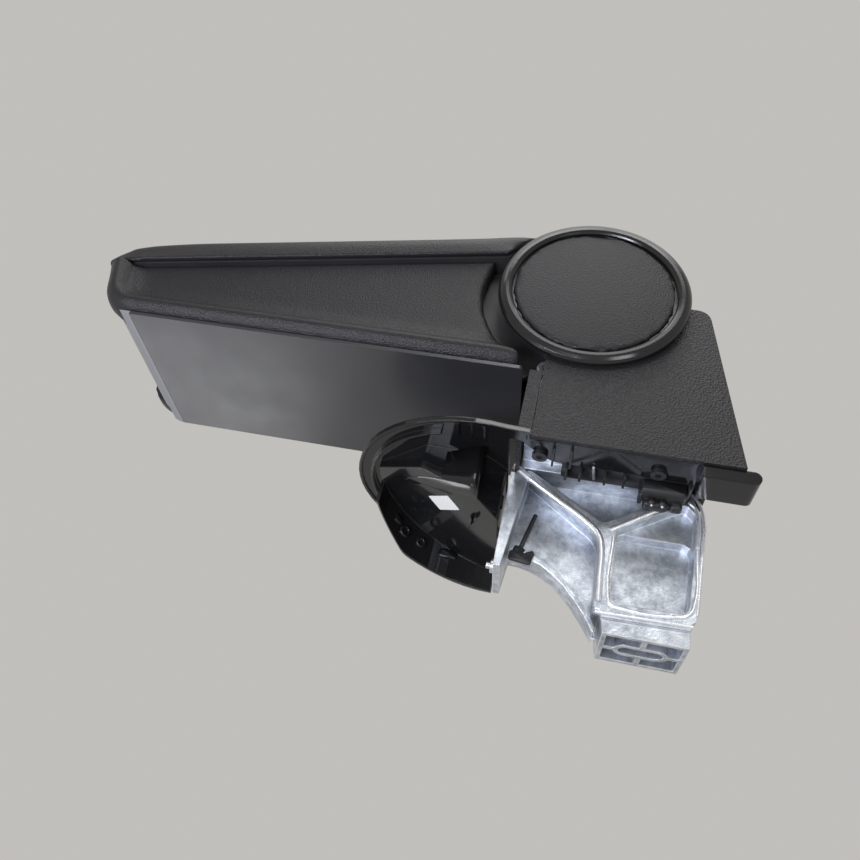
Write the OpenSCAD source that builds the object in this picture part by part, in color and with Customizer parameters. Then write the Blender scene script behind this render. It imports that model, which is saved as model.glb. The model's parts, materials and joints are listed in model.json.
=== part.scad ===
// Car centre armrest: a padded folding arm with a storage bin, hinged between the
// two sides of a moulded pillar. A ribbed cast bracket carries the pivot, passes
// down through the base flange and ends in a foot that bolts to the floor.
// The arm points to -X, the car's rear is +X, the left side is -Y and up is +Z.
// The origin is the centre of the foot's underside. Lengths are in millimetres.

/* [Placing] */
// Height of the arm's pivot above the foot's underside
pivot_h = 205.5; // [195:0.5:220]
// Distance of the foot's centre behind the pivot
foot_back = 53.5; // [50:0.5:56]
// Height of the base flange's underside above the foot's underside
flange_h = 87.5; // [80:0.5:92]

/* [Arm] */
// Reach of the arm's tip in front of the pivot
arm_reach = 323; // [290:1:350]
// Depth of the side covers below the pivot
arm_drop = 67.5; // [66:0.5:70]
// Width over the recessed faces of the side covers
cheek_w = 108; // [106:1:110]
// How far the bolster stands proud of a side cover
bolster_p = 6.5; // [5:0.5:7]
// Height of the bolster
bolster_h = 24; // [18:1:25]
// Radius of the arm's nose, seen from the side
nose_r = 26; // [25:1:28]
// Forward lean of the nose from upright, in degrees
nose_lean = 16.3; // [8:0.1:20]
// Slope of the lid towards the tip, in degrees
top_slope = 10.9; // [9:0.1:12]
// Distance of the joint between lid and bin from the pivot's axis
parting_d = 35.5; // [34.5:0.1:36]
// Radius of the side covers' hollow around the disc
hollow_r = 68.5; // [66:0.5:70]
// Front end of the bolster's tail, in front of the pivot
tail_x = 36; // [35:0.5:40]

/* [Bin] */
// Width over the bin
bin_w = 91; // [88:0.5:93]
// Wall of the bin
bin_wall = 2.5; // [2:0.1:3]
// Gap between the bin's floor and the bottom cover
bin_lift = 3; // [2.5:0.1:5]
// Front of the bin, behind the arm's tip
bin_setback = 19; // [17:0.5:26]
// Rear wall of the bin, in front of the pivot
bin_rear = 73; // [72:0.5:80]
// Thickness of the mat in the bin
mat_t = 1.5; // [1:0.1:2.5]

/* [Covers] */
// Thickness of the bottom cover
cover_t = 2.5; // [2:0.1:3]
// Seam between bottom cover and front cap, behind the arm's tip
seam_back = 35; // [33:0.5:40]
// Wall of the front cap
cap_t = 3; // [2:0.1:4]
// Radius of the front cap's lower curve
cap_r = 20; // [16:0.5:20]

/* [Lid] */
// Thickness of the lid over everything
lid_t = 22.5; // [21.5:0.5:23]
// Width over the lid's pad
lid_w = 120; // [114:1:121]
// Thickness of the lid's base
lid_base_t = 4; // [3:0.1:5]
// Gap between lid and side covers
lid_gap = 0.8; // [0.5:0.1:1.5]
// Radius of the pad's long upper edges
pad_edge_r = 6; // [4:0.5:9]
// Radius of the pad's front corners, seen from above
pad_corner_r = 22; // [12:1:26]
// Radius of the pad's nose, seen from the side
pad_nose_r = 19.5; // [12:0.5:19.5]
// How far the pad's tongue reaches behind the pivot, in degrees
tongue_end = 48; // [40:1:50]

/* [Hub] */
// Width over the arm's hub
hub_w = 84; // [80:0.5:85]
// Thickness of each hub plate
hub_plate_t = 4; // [3:0.1:5]
// Radius of the hub plates
hub_r = 43.3; // [41:0.1:44]
// Thickness of the hub's cover
hub_cover_t = 2.4; // [1.8:0.1:2.8]
// Radius of the hub's tube
hub_tube_r = 17; // [15:0.5:19]
// Radius of the pivot axle
axle_r = 8; // [6:0.5:9]
// Wall of each bush
bush_wall = 3; // [2:0.1:4]
// Length of each bush
bush_l = 20; // [14:1:24]
// Running clearance of round fits, on the radius
run_gap = 0.05; // [0.02:0.01:0.1]

/* [Discs] */
// Radius of the side discs
disc_r = 60; // [58:0.5:61]
// Distance of a disc's crest from the middle of the arm
disc_face = 63.6; // [63:0.1:66]
// Depth of a disc's rim
disc_rim = 6.2; // [5:0.1:6.4]
// Radius of a disc's inlay
inlay_r = 51; // [46:0.5:53]
// Thickness of a disc's inlay
inlay_t = 2.6; // [2:0.1:3]

/* [Pillar] */
// Front face of the pillar, in front of the pivot
pillar_front = 30; // [29:0.5:31]
// Rear foot of the pillar, behind the pivot
pillar_rear = 93; // [90:0.5:96]
// Rear edge of the pillar's sides behind the pivot, at the pivot's height
pillar_tip = 72.5; // [71:0.5:76]
// Height of the sides' upper rear corner above the pivot
pillar_tip_rise = 3; // [0:0.5:3]
// Foot of the pillar's rear cover, behind the pivot
rear_foot = 80; // [79:0.5:84]
// Upper end of the pillar's rear cover, behind the pivot
rear_head = 63; // [62.5:0.5:65]
// Depth of that upper end below the pivot
rear_head_drop = 14; // [12:0.5:20]
// Half width of the pillar at its foot
pillar_half = 62; // [60:0.5:64]
// Wall of the pillar's covers
pillar_wall = 2.5; // [2:0.1:2.8]
// Side seam behind the pillar's front face
pillar_seam = 8; // [6:0.5:12]

/* [Base] */
// Radius of the flange's round front
flange_r = 78.5; // [77:0.5:79.5]
// Centre of that round front, in front of the pivot
flange_centre = 51; // [50:0.5:53]
// Shift of that centre to the right
flange_shift = 12; // [11:0.5:13]
// Height of the flange's rim
flange_rim = 3; // [2.8:0.1:4]
// Wall of the flange and its rim
flange_wall = 2; // [1.6:0.1:2.4]
// Rear edge of the flange, behind the pivot
flange_rear = 79; // [76:0.5:79]
// Depth of the tray's floor under the flange at its front
tray_depth = 3; // [3:0.5:5]
// Slope of the tray's floor, in degrees
tray_slope = 21; // [15:0.5:23]
// Radius of the tray's round side
tray_r = 54; // [50:0.5:54]
// Centre of that round side, in front of the pivot
tray_centre = 60; // [59:0.5:62]
// Depth of the skirt's front corner below the flange's underside
skirt_depth = 31; // [26:0.5:34]
// Slope of the skirt's lower edge, in degrees
skirt_slope = 12; // [6:0.5:14]

/* [Bracket] */
// Depth of the bracket's ribs, across the car
rib_depth = 38; // [34:1:40]
// Thickness of the bracket's web
web_t = 6; // [4:0.5:8]
// Thickness of the bracket's main ribs
rib_t = 5; // [4:0.5:6]
// Thickness of the bracket's fine rib
fine_rib_t = 2.6; // [2:0.1:4]
// Thickness of each of the fork's ears
ear_t = 5.5; // [4:0.5:5.5]
// Radius of the fork's ears
ear_r = 20; // [18:1:24]
// Thickness of the fork's cross plate
cross_t = 6; // [5:0.5:8]
// Length of the foot along the car
foot_l = 45; // [42:0.5:48]
// Height of the foot block
foot_h = 13.5; // [12:0.5:16]
// Length of the foot's oval socket
socket_l = 24; // [20:0.5:28]
// Width of the foot's oval socket
socket_w = 9; // [7:0.5:11]
// Depth of the foot's sockets
socket_depth = 9; // [6:0.5:10]

/* [Hidden] */
$fn = 64;

// Gap left where two pieces of one body only lie beside each other
seat_gap = 0.3;
// Overlap that makes a union or a cut certain
over = 1;
// Reach of the big cutting shapes
big = 500;

cheek_y = cheek_w / 2;
bolster_y = cheek_y + bolster_p;
bin_y = bin_w / 2;
hub_y = hub_w / 2;
flange_z = flange_h - pivot_h;
foot_z = -pivot_h;
bush_r = axle_r + bush_wall;
ear_y = hub_y + 1.5;
lid_low = parting_d + lid_gap;
// The pillar's sides lean in just far enough to end behind the discs
pillar_lean = atan((pillar_half - disc_face + disc_rim + 0.42) / (-disc_r - flange_z));
lid_top = parting_d + lid_t;

// Height of the line at distance d above the pivot, sloping down to the tip
function slope_z(x, d) = (d + sin(top_slope) * x) / cos(top_slope);

// Lower front corner of the side covers, before it is rounded
nose_x = -arm_reach + (arm_drop + slope_z(-arm_reach, parting_d)) * tan(nose_lean);
// Centre of the nose's curve
nose_cx = nose_x + nose_r * tan((90 - nose_lean) / 2);
nose_cz = -arm_drop + nose_r;
cover_z = -arm_drop - cover_t;
seam_x = -arm_reach + seam_back;
bin_front = -arm_reach + bin_setback;
bin_z = -arm_drop + bin_lift;

// Points of a polygon whose corners [x, y, radius] are rounded
function unit(v) = v / norm(v);
function bearing(p, c) = atan2(p.y - c.y, p.x - c.x);
function flat(p) = [p.x, p.y];
function arc(c, r, a0, a1, n) = [for (i = [0:n]) c + r * [cos(a0 + (a1 - a0) * i / n), sin(a0 + (a1 - a0) * i / n)]];
function fillet(a, b, c, n) =
    b[2] == 0 ? [flat(b)] :
    let(u = unit(flat(a) - flat(b)))
    let(w = unit(flat(c) - flat(b)))
    let(half = acos(u * w) / 2)
    let(centre = flat(b) + unit(u + w) * b[2] / sin(half))
    let(first = flat(b) + u * b[2] / tan(half))
    let(last = flat(b) + w * b[2] / tan(half))
    let(a0 = bearing(first, centre))
    let(turn = (bearing(last, centre) - a0 + 540) % 360 - 180)
    arc(centre, b[2], a0, a0 + turn, n);
function rounded(p, n = 5) =
    [for (i = [0:len(p) - 1]) each fillet(p[(i + len(p) - 1) % len(p)], p[i], p[(i + 1) % len(p)], n)];

// Puts the pivot's frame in its place above the foot
module at_pivot() {
    translate([-foot_back, 0, pivot_h]) children();
}

// Draws a side view [x, z] from y0 to y1
module side(y0, y1) {
    translate([0, y1, 0]) rotate([90, 0, 0]) linear_extrude(y1 - y0) children();
}

// Draws a cross section [y, z] from x0 to x1
module along(x0, x1) {
    translate([x0, 0, 0]) rotate([90, 0, 90]) linear_extrude(x1 - x0) children();
}

// A round bar along Y from y0 to y1
module bar(r, y0, y1) {
    translate([0, y1, 0]) rotate([90, 0, 0]) cylinder(r = r, h = y1 - y0);
}

// A piece drawn on the left side, or its mirror image on the right
module sided(right) {
    if (right) mirror([0, 1, 0]) children();
    else children();
}

// Turns a shape drawn on level ground to the slope of the lid
module sloped() {
    rotate([0, -top_slope, 0]) children();
}

// Everything below the joint between lid and bin
module below_parting(d = parting_d) {
    sloped() translate([-big, -big / 2, d - big]) cube([2 * big, big, big]);
}

// Side cover with its raised bolster along the front and the bottom
bolster_crest = 0.34 * bolster_h;
bolster_section = concat(
    [[0, bin_y + 0.2 - cheek_y], [0, 0.55 * bolster_p]],
    [for (i = [1:4]) [bolster_crest * (1 - cos(22.5 * i)), bolster_p * (0.55 + 0.45 * sin(22.5 * i))]],
    [for (i = [1:6]) let(t = i / 6)
        [bolster_crest + (bolster_h - bolster_crest) * t, bolster_p * (0.4 + 0.6 * cos(180 * t))]],
    [[bolster_h, bin_y + 0.2 - cheek_y]]
);

// The flat cheek, whose edges end just inside the bolster's
module cheek_outline() {
    inset = 5;
    front_in = inset / cos(nose_lean);
    difference() {
        polygon(rounded([
            [nose_x + front_in + inset * tan(nose_lean), -arm_drop + inset, nose_r - inset],
            [-arm_reach + front_in, slope_z(-arm_reach, parting_d), 0],
            [-tail_x, slope_z(-tail_x, parting_d), 0],
            [-tail_x, -arm_drop + inset, 0]
        ]));
        circle(r = hollow_r);
    }
}

// Places [x, z, direction] of the bolster's cross section, from its tail round the nose
nose_steps = 8;
bolster_path = concat(
    [[-tail_x, -arm_drop, 270]],
    [for (i = [0:nose_steps]) let(a = 270 - (90 - nose_lean) * i / nose_steps)
        [nose_cx + nose_r * cos(a), nose_cz + nose_r * sin(a), a]],
    [[nose_cx - nose_r * cos(nose_lean) - 2 * bolster_h * sin(nose_lean),
        nose_cz - nose_r * sin(nose_lean) + 2 * bolster_h * cos(nose_lean), 180 + nose_lean]]
);

module bolster() {
    n = len(bolster_section);
    last = len(bolster_path) - 1;
    polyhedron(
        points = [for (s = bolster_path) each [for (p = bolster_section)
            [s.x - p.x * cos(s.z), -cheek_y - p.y, s.y - p.x * sin(s.z)]]],
        faces = concat(
            [[for (i = [0:n - 1]) i]],
            [for (k = [0:last - 1]) each [for (i = [0:n - 1])
                [k * n + i, (k + 1) * n + i, (k + 1) * n + (i + 1) % n, k * n + (i + 1) % n]]],
            [[for (i = [0:n - 1]) last * n + n - 1 - i]]
        )
    );
}

module side_cover(right) {
    color("#3b3a3d") at_pivot() sided(right) difference() {
        union() {
            side(-cheek_y, -bin_y) cheek_outline();
            intersection() {
                bolster();
                below_parting();
            }
        }
        bar(hollow_r, -big / 2, 0);
    }
}

module side_cover_left() {
    side_cover(false);
}

module side_cover_right() {
    side_cover(true);
}

// Smooth underside of the arm with two stiffening ribs under the bin
cover_half = bolster_y - 1;
cover_rear = -tail_x + 2;
module bottom_cover() {
    rib_y = 22;
    rib_w = 1.6;
    color("#77777c") at_pivot() {
        translate([0, 0, cover_z]) linear_extrude(cover_t) polygon(rounded([
            [seam_x, -cover_half, 0],
            [cover_rear, -cover_half, 3],
            [cover_rear, cover_half, 3],
            [seam_x, cover_half, 0]
        ]));
        for (s = [-1, 1])
            translate([seam_x + 12, s * rib_y - rib_w / 2, cover_z + cover_t - 0.1])
                cube([-bin_rear - seam_x - 14, rib_w, bin_lift + 0.1 - 0.02]);
    }
}

// Curved front cap between the side covers, with a lip under the bolsters
cap_corner = nose_x + 9.5;
cap_top_d = parting_d - 7;
function cap_path(inset) = rounded([
    [seam_x - seat_gap + 30, cover_z + inset, 0],
    [cap_corner + inset * 1.2, cover_z + inset, cap_r - inset],
    [-arm_reach + 6.5 + inset * 1.05, slope_z(-arm_reach, parting_d) + 6, 0],
    [seam_x - seat_gap + 30, slope_z(-arm_reach, parting_d) + 6, 0]
], 8);

module front_cap() {
    color("#a3a3a8") at_pivot() {
        intersection() {
            side(-bin_y + seat_gap, bin_y - seat_gap) difference() {
                polygon(cap_path(0));
                polygon(cap_path(cap_t));
            }
            below_parting(cap_top_d);
            translate([-big, -big / 2, -big / 2]) cube([big + seam_x - seat_gap, big, big]);
        }
        intersection() {
            side(-cover_half, cover_half) polygon(cap_path(0));
            translate([-big, -big / 2, cover_z])
                cube([big + seam_x - seat_gap, big, cover_t - 0.02]);
        }
    }
}

// Storage bin with the two hub plates and the hub's tube
module bin_outline(inset) {
    top = slope_z(bin_front, parting_d);
    polygon(rounded([
        [bin_front + 26 + inset / 2, bin_z + inset, 12],
        [bin_front + 1 + inset, top - 12, 8],
        [bin_front + inset, top + 30, 0],
        [-bin_rear - inset, slope_z(-bin_rear, parting_d) + 30, 0],
        [-bin_rear - inset, bin_z + inset, inset == 0 ? 0 : 5]
    ]));
}

lug_x = -27.3;
module storage_bin() {
    lug_half = 18;
    lug_h = 10;
    bin_z_rise = 22;
    floor_rear = cover_rear - 2;
    rim_d = parting_d - 0.6;
    color("#2b2b2d") at_pivot() difference() {
        union() {
            intersection() {
                side(-bin_y, bin_y) bin_outline(0);
                below_parting(rim_d);
            }
            for (y = [-hub_y, hub_y - hub_plate_t]) intersection() {
                side(y, y + hub_plate_t) union() {
                    circle(r = hub_r);
                    polygon([
                        [-bin_rear - over, bin_z],
                        [floor_rear, bin_z],
                        [-10, -hub_r + 3],
                        [-20, hub_r - 12],
                        [-bin_rear - over, slope_z(-bin_rear, rim_d)]
                    ]);
                }
                union() {
                    below_parting(rim_d);
                    translate([0, -big / 2, -big / 2]) cube(big);
                }
            }
            translate([-bin_rear - over, -hub_y, bin_z]) cube([bin_rear + over + floor_rear, hub_w, bin_wall]);
            translate([floor_rear - bin_wall, -hub_y, bin_z]) cube([bin_wall, hub_w, bin_z_rise]);
            translate([floor_rear - 4, -lug_half, bin_z]) cube([lug_x - floor_rear + 4, 2 * lug_half, lug_h]);
            bar(hub_tube_r, -hub_y, hub_y);
        }
        side(-bin_y + bin_wall, bin_y - bin_wall) bin_outline(bin_wall);
        bar(bush_r, -hub_y - over, hub_y + over);
    }
}

// Ribbed mat lying on the bin's floor
module bin_mat() {
    mat_front = bin_front + 26 + 8;
    mat_rear = -bin_rear - bin_wall - 7;
    mat_y = bin_y - bin_wall - 1;
    pitch = 8;
    color("#1f1f20") at_pivot() translate([0, 0, bin_z + bin_wall]) {
        linear_extrude(mat_t) polygon(rounded([
            [mat_front, -mat_y, 4],
            [mat_rear, -mat_y, 4],
            [mat_rear, mat_y, 4],
            [mat_front, mat_y, 4]
        ]));
        for (y = [-mat_y + pitch : pitch : mat_y - pitch])
            translate([mat_front + 6, y - 0.6, mat_t - 0.1]) cube([mat_rear - mat_front - 12, 1.2, 0.7]);
    }
}

// Flanged bushes pressed into the hub's tube
module bush(right) {
    flange_t = 1.2;
    color("#d9d6cc") at_pivot() sided(right) difference() {
        union() {
            bar(bush_r, -hub_y, -hub_y + bush_l);
            bar(bush_r + 4, -hub_y - flange_t, -hub_y);
        }
        bar(axle_r + run_gap, -hub_y - flange_t - over, -hub_y + bush_l + over);
    }
}

module bush_left() {
    bush(false);
}

module bush_right() {
    bush(true);
}

// Curved cover round the back of the hub, under the lid's tongue
module hub_cover() {
    first = 90 - tongue_end + top_slope + 3;
    last = -100;
    color("#2b2b2d") at_pivot() side(-hub_y, hub_y) intersection() {
        difference() {
            circle(r = hub_r + hub_cover_t);
            circle(r = hub_r);
        }
        polygon(concat([[0, 0]], arc([0, 0], 2 * hub_r, first, last, 4)));
    }
}

// Lid: a stiff base with two hinge arms, and the pad that caps it
lid_front = -arm_reach + 0.5;
lid_clear_r = hub_r + hub_cover_t + 1.5;
tongue_y = hub_y - 0.6;
pad_clear_r = disc_r + 3;
function lid_profile(front, low, high, lean, inner_r, outer_r, last, nose, toe) = concat(
    fillet([-20, low], [front + lean * (low - lid_low), low, toe], [front + lean * (high - lid_low), high], 3),
    fillet([front, low], [front + lean * (high - lid_low), high, nose], [0, high], 6),
    arc([0, 0], outer_r, 90 + acos(min(1, high / outer_r)), last, 12),
    arc([0, 0], inner_r, last, 90 + acos(low / inner_r), 12)
);

module lid_plan(front, half, corner) {
    polygon(rounded([
        [front, -half, corner],
        [big / 4, -half, 0],
        [big / 4, half, 0],
        [front, half, corner]
    ]));
}

// Space kept free for the discs on both sides of the lid's tongue
module disc_room() {
    for (s = [0, 1]) sided(s == 1) translate([0, -tongue_y, 0]) bar(pad_clear_r, -big / 4, 0);
}

base_inset = 9;
base_half = lid_w / 2 - 4;
module lid_base_form(grow) {
    low = lid_low - (grow > 0 ? over : 0);
    sloped() intersection() {
        side(-base_half - grow, base_half + grow) polygon(lid_profile(
            lid_front + base_inset - grow, low, lid_low + lid_base_t + grow, 0.9,
            lid_clear_r, lid_clear_r + lid_base_t + grow, 90 - tongue_end - (grow > 0 ? 2 : 0), 0, 0
        ));
        translate([0, 0, -big / 2]) linear_extrude(big)
            lid_plan(lid_front + base_inset - grow, base_half + grow, 10);
    }
}

arm_in = hub_y - hub_plate_t - 3.5;
module lid_base() {
    arm_t = 3;
    arm_w = 7;
    eye_r = hub_tube_r + 7;
    color("#333336") at_pivot() difference() {
        union() {
            lid_base_form(0);
            for (s = [0, 1]) sided(s == 1) side(-arm_in - arm_t, -arm_in) union() {
                circle(r = eye_r);
                rotate(top_slope + 12) translate([-arm_w, 0]) square([2 * arm_w, lid_clear_r + 2.5]);
            }
        }
        bar(hub_tube_r + run_gap, -hub_y, hub_y);
        disc_room();
        latch_room(seat_gap);
    }
}

pad_seat = 0.15;
module lid_pad() {
    color("#3f3e41") at_pivot() difference() {
        sloped() intersection() {
            side(-lid_w / 2, lid_w / 2) polygon(lid_profile(
                lid_front, lid_low, lid_top, 0.16, lid_clear_r + lid_base_t / 2, lid_top,
                90 - tongue_end, pad_nose_r, 3
            ));
            along(-big, big / 4) polygon(rounded([
                [-lid_w / 2, -big / 4, 0],
                [-lid_w / 2, lid_top, pad_edge_r],
                [lid_w / 2, lid_top, pad_edge_r],
                [lid_w / 2, -big / 4, 0]
            ], 4));
            translate([0, 0, -big / 2]) linear_extrude(big) lid_plan(lid_front, lid_w / 2, pad_corner_r);
        }
        lid_base_form(pad_seat);
        disc_room();
        latch_room(seat_gap);
    }
}

// Rubber buffers under the lid that come down on the side covers' upper edges
module lid_buffers() {
    buffer_r = 2;
    buffer_in = 60;
    buffer_x = [-arm_reach + buffer_in, -bin_rear - buffer_in / 2];
    color("#141414") at_pivot() sloped() for (x = buffer_x, s = [-1, 1])
        translate([x, s * (bin_y + buffer_r + 0.3), parting_d + 0.1])
            cylinder(r = buffer_r, h = lid_gap - 0.1);
}

// Sliding catch at the lid's front with its push paddle
catch_x = -arm_reach + bin_setback + bin_wall + 4;
slide_half = 14;
slide_l = 46;
catch_travel = 3;
module latch_room(gap) {
    sloped() translate([lid_front + base_inset - 6, -slide_half - gap, lid_low - over])
        cube([slide_l + catch_travel + 10 + gap, 2 * (slide_half + gap), over + 2 + gap]);
}

module latch_slider() {
    paddle_t = 4;
    paddle_h = 6.5;
    hook_t = 3;
    color("#222224") at_pivot() sloped() translate([0, 0, lid_low]) {
        translate([lid_front + base_inset - 3.5, -slide_half, -0.4]) cube([slide_l, 2 * slide_half, 2.2]);
        translate([lid_front + base_inset - 3.5, -slide_half, -paddle_h]) cube([paddle_t, 2 * slide_half, paddle_h]);
        translate([catch_x, -8, -9]) cube([hook_t, 16, 9]);
        translate([catch_x - 1.2, -8, -9]) cube([1.3, 16, 2]);
    }
}

// Return spring of the catch, in the base behind the slider
module latch_spring() {
    wire_r = 0.4;
    coil_r = 1.0;
    turns = 7;
    start = lid_front + base_inset - 3.5 + slide_l;
    color("#b8b8bc") at_pivot() sloped() for (i = [0:turns - 1])
        translate([start + 0.6 + i * 1.5, 0, lid_low + 0.5]) rotate([0, 90, 0])
            rotate_extrude() translate([coil_r, 0]) circle(r = wire_r, $fn = 16);
}

// Keeper on the bin's front wall, just in front of the catch's nose
module keeper_plate() {
    keeper_half = 12;
    color("#9a9aa0") at_pivot() intersection() {
        sloped() translate([catch_x - 1.2 - seat_gap - 6, -keeper_half, lid_low - 6])
            cube([6, 2 * keeper_half, 2]);
        side(-keeper_half - over, keeper_half + over) bin_outline(bin_wall);
    }
}

// Moulded pillar: one tapered envelope, split into two sides, a front and a rear
pillar_top_z = pillar_tip_rise;
function rear_edge_x(z) = pillar_tip + (pillar_rear - pillar_tip) * z / flange_z;
module pillar_section(inset, high) {
    lean = tan(pillar_lean);
    along(-big / 4, big / 4) polygon([
        [-pillar_half + inset, flange_z],
        [-pillar_half + inset + high * lean, flange_z + high],
        [pillar_half - inset - high * lean, flange_z + high],
        [pillar_half - inset, flange_z]
    ]);
}

module pillar_side_outline() {
    corner_r = 9;
    front = -pillar_front + pillar_seam;
    polygon(rounded([
        [front, flange_z, 0],
        [front, pillar_top_z, 0],
        [rear_edge_x(pillar_top_z), pillar_top_z, corner_r],
        [rear_edge_x(flange_z), flange_z, 0]
    ]));
}

head_r = disc_r - 3.5;
module pillar_side(right) {
    color("#4a494b") at_pivot() sided(right) union() {
        difference() {
            intersection() {
                side(-big / 4, -big / 16) pillar_side_outline();
                pillar_section(0, 130);
            }
            translate([0, 0, -over]) pillar_section(pillar_wall, 130 + 2 * over);
            bar(head_r - 1, -big / 4, 0);
        }
        pillar_head();
    }
}

// Round head of a pillar side, which closes the gap between fork and disc
module pillar_head() {
    head_wall = 2.4;
    head_top = 12;
    disc_back = disc_face - disc_rim;
    difference() {
        bar(head_r, -disc_back + seat_gap, -ear_y - seat_gap);
        bar(head_r - head_wall, -big / 4, 0);
        translate([-big / 2, -axle_end - 0.2, -big - head_top]) cube([big, big, big]);
    }
}

module pillar_side_left() {
    pillar_side(false);
}

module pillar_side_right() {
    pillar_side(true);
}

// Front cover with two short returns, standing on the flange
module pillar_front_cover() {
    foot = flange_z + flange_rim;
    rear = -pillar_front + pillar_seam - seat_gap;
    color("#434245") at_pivot() intersection() {
        difference() {
            pillar_section(0, 130);
            translate([-pillar_front + pillar_wall, -big / 4, foot - over]) intersection() {
                cube([big, big / 2, big]);
                translate([0, big / 4, -foot + over]) pillar_section(pillar_wall, 130 + over);
            }
        }
        translate([-pillar_front, -big / 4, foot])
            cube([rear + pillar_front, big / 2, -arm_drop - 0.5 - foot]);
    }
}

// Flat rear cover, set in between the pillar's sides
module pillar_rear_cover() {
    foot = flange_z + flange_rim;
    color("#434245") at_pivot() intersection() {
        side(-big / 4, big / 4) polygon([
            [rear_foot - pillar_wall, foot],
            [rear_head - pillar_wall, -rear_head_drop],
            [rear_head, -rear_head_drop],
            [rear_foot, foot]
        ]);
        pillar_section(pillar_wall + 0.2, 130);
    }
}

// Base flange with its rim, the sloping tray, the skirt and the rear hook
function flange_outline(inset) =
    let(c = [-flange_centre, flange_shift])
    let(r = flange_r - inset)
    let(half = pillar_half - pillar_wall - flange_rim * tan(pillar_lean) - 0.2 - inset)
    let(rear = flange_rear - inset)
    let(step = -pillar_front + pillar_seam - seat_gap - inset)
    let(far = pillar_half + 4 - inset)
    let(near = -pillar_half - 2 + inset)
    let(far_x = -flange_centre - r * cos(asin((far - flange_shift) / r)))
    concat(
        rounded([
            [step, far, 0],
            [far_x, far, 20],
            [c.x + r * cos(150), c.y + r * sin(150), 0]
        ]),
        arc(c, r, 154, 360 - acos((flange_centre - 36) / r), 20),
        [[step, near]],
        [[step, -half]],
        [[rear, -half]],
        [[rear, half]],
        [[step, half]]
    );

tray_rear = -pillar_front - 4;
tray_near = -35;
function tray_outline(inset) =
    let(c = [-tray_centre, 0])
    let(r = tray_r - inset)
    concat(
        rounded([
            [-tray_centre - r * cos(8), -r * sin(8), 0],
            [-tray_centre - 22 + inset * 0.4, tray_near + inset, 7],
            [tray_rear - 14 - inset * 0.6, tray_near + inset, 7],
            [tray_rear - inset, -22 + inset * 0.4, 4],
            [tray_rear - inset, r * sin(acos((tray_rear - inset + tray_centre) / r)), 0]
        ], 4),
        arc(c, r, acos((tray_rear - inset + tray_centre) / r) + 3, 180, 16)
    );

// Half space above a plane that falls towards the rear
module above_tray_floor(depth) {
    translate([-tray_centre - tray_r, 0, flange_z - depth]) rotate([0, tray_slope, 0])
        translate([-big / 2, -big / 2, 0]) cube([big, big, big]);
}

boss_places = [[-16, 44], [50, 44]];
module base_plate() {
    top = flange_z + flange_rim;
    plate_z = top - flange_wall;
    cross_z = flange_z + cross_gap;
    boss_r = 5;
    color("#1d1d1f") at_pivot() difference() {
        union() {
            difference() {
                translate([0, 0, flange_z]) linear_extrude(flange_rim) polygon(flange_outline(0));
                translate([0, 0, flange_z - over]) linear_extrude(flange_rim - flange_wall + over)
                    polygon(flange_outline(flange_wall));
            }
            tray_body();
            skirt();
            locating_rib();
            fine_ribs(plate_z);
            for (p = boss_places, s = [-1, 1]) translate([p.x, s * p.y, plate_z])
                cylinder(r = boss_r, h = cross_z - plate_z);
            rear_hook();
        }
        tray_cavity();
        bracket_window();
        for (p = boss_places, s = [-1, 1]) translate([p.x, s * p.y, flange_z - over])
            cylinder(r = screw_r + 0.3, h = cross_z - flange_z + 2 * over);
    }
}

module tray_body() {
    intersection() {
        translate([0, 0, flange_z - 60]) linear_extrude(60 + flange_rim - 0.5) polygon(tray_outline(0));
        above_tray_floor(tray_depth);
    }
}

module tray_cavity() {
    intersection() {
        translate([0, 0, flange_z - 60]) linear_extrude(60 + flange_rim + over) polygon(tray_outline(flange_wall));
        above_tray_floor(tray_depth - flange_wall);
    }
}

// Skirt on the far side of the tray, with its own sloping lower edge
module skirt() {
    wall = 2.4;
    first = 62;
    last = 172;
    front = -tray_centre - tray_r;
    low = flange_z - skirt_depth;
    reach = 90;
    fall = reach * tan(skirt_slope);
    intersection() {
        translate([0, 0, flange_z - 80]) linear_extrude(80 + 1) polygon(concat(
            arc([-tray_centre, 0], tray_r, first, last, 16),
            arc([-tray_centre, 0], tray_r - wall, last, first, 16)
        ));
        side(-big / 4, big / 4) polygon(rounded([
            [front - over, flange_z + 2, 0],
            [front - over, low + 14, 0],
            [front + 19, low - 4, 12],
            [front + reach, low - fall, 0],
            [front + reach, flange_z + 2, 0]
        ]));
    }
}

// Low rib round the front, which drops into the console's opening
module locating_rib() {
    rib_h = 2.5;
    c = [-flange_centre, flange_shift];
    outer = flange_r - 8.5;
    translate([0, 0, flange_z - rib_h]) linear_extrude(rib_h + flange_rim - flange_wall + 0.5) polygon(concat(
        arc(c, outer, 150, 252, 20),
        arc(c, outer - 1.5, 252, 150, 20)
    ));
}

// Fine ribs between the rim and the tray on both sides
module fine_ribs(plate_z) {
    rib_w = 1.2;
    front_x = -tray_centre - 3;
    front_pitch = 7.2;
    rear_x = -8.5;
    rear_pitch = 10;
    for (s = [-1, 1]) {
        for (i = [0:2]) translate([front_x + i * front_pitch - rib_w / 2, s * 57 - 6, flange_z])
            cube([rib_w, 12, plate_z - flange_z + 0.2]);
        for (i = [0, 1]) translate([rear_x + i * rear_pitch - rib_w / 2, s * 48 - 9, flange_z - 3])
            cube([rib_w, 18, plate_z - flange_z + 3.2]);
    }
}

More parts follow.
